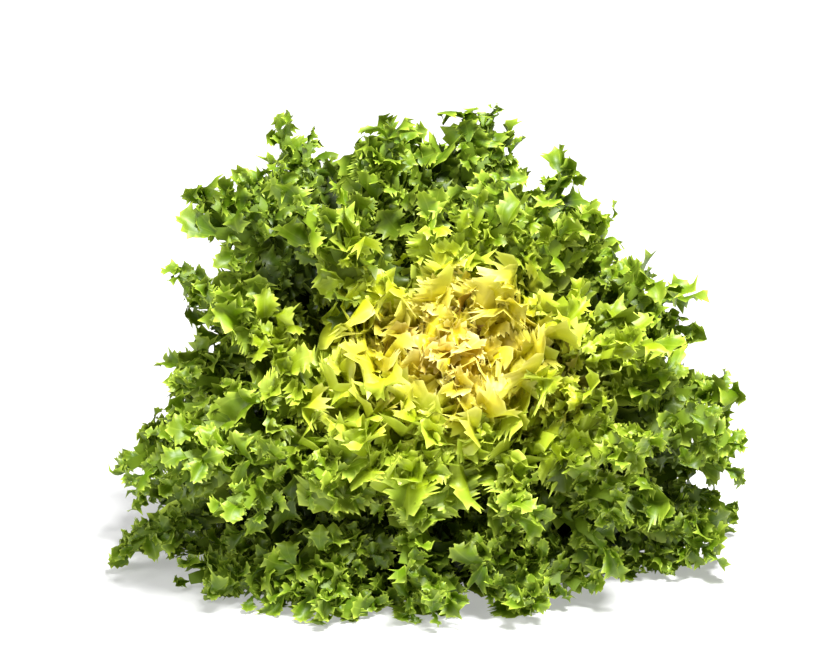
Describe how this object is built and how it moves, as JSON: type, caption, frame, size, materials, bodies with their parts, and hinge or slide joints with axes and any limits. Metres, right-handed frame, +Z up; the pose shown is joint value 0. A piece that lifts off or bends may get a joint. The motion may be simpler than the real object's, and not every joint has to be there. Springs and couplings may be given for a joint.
{
  "type": "curly endive head",
  "caption": "Head of curly endive: a domed rosette of frilled, lobed leaves round a pale heart, on a short cut stem, lying tilted on its lower leaves.",
  "frame": {"origin": "on the surface that the head lies on, under the middle of its bounding box", "axes": "+Z up, -Y to the front, which is the side that the heart leans towards, +X across the head"},
  "size_m": [0.3298, 0.2336, 0.2202],
  "materials": {
    "stem": "pale cut stem, matt and slightly moist",
    "heart": "blanched yellow leaf, soft sheen",
    "leaf_pale": "pale yellow-green leaf, soft sheen",
    "leaf_light": "bright green leaf, soft sheen",
    "leaf_green": "dark green leaf, soft sheen"
  },
  "bodies": {
    "root": {"heart_leaves": "heart", "inner_leaf_01": "leaf_pale", "inner_leaf_02": "leaf_pale", "inner_leaf_03": "leaf_pale", "inner_leaf_04": "leaf_pale", "inner_leaf_05": "leaf_pale", "inner_leaf_06": "leaf_pale", "inner_leaf_07": "leaf_pale", "inner_leaf_08": "leaf_pale", "inner_leaf_09": "leaf_pale", "inner_leaf_10": "leaf_pale", "inner_leaf_11": "leaf_pale", "inner_leaf_12": "leaf_pale", "inner_leaf_13": "leaf_pale", "middle_leaf_01": "leaf_light", "middle_leaf_02": "leaf_light", "middle_leaf_03": "leaf_light", "middle_leaf_04": "leaf_light", "middle_leaf_05": "leaf_light", "middle_leaf_06": "leaf_light", "middle_leaf_07": "leaf_light", "middle_leaf_08": "leaf_light", "middle_leaf_09": "leaf_light", "middle_leaf_10": "leaf_light", "middle_leaf_11": "leaf_light", "middle_leaf_12": "leaf_light", "middle_leaf_13": "leaf_light", "outer_leaf_01": "leaf_green", "outer_leaf_02": "leaf_green", "outer_leaf_03": "leaf_green", "outer_leaf_04": "leaf_green", "outer_leaf_05": "leaf_green", "outer_leaf_06": "leaf_green", "outer_leaf_07": "leaf_green", "outer_leaf_08": "leaf_green", "outer_leaf_09": "leaf_green", "outer_leaf_10": "leaf_green", "outer_leaf_11": "leaf_green", "outer_leaf_12": "leaf_green", "outer_leaf_13": "leaf_green", "outer_leaf_14": "leaf_green", "outer_leaf_15": "leaf_green", "outer_leaf_16": "leaf_green", "outer_leaf_17": "leaf_green", "outer_leaf_18": "leaf_green", "stem": "stem"}
  },
  "joints": []
}
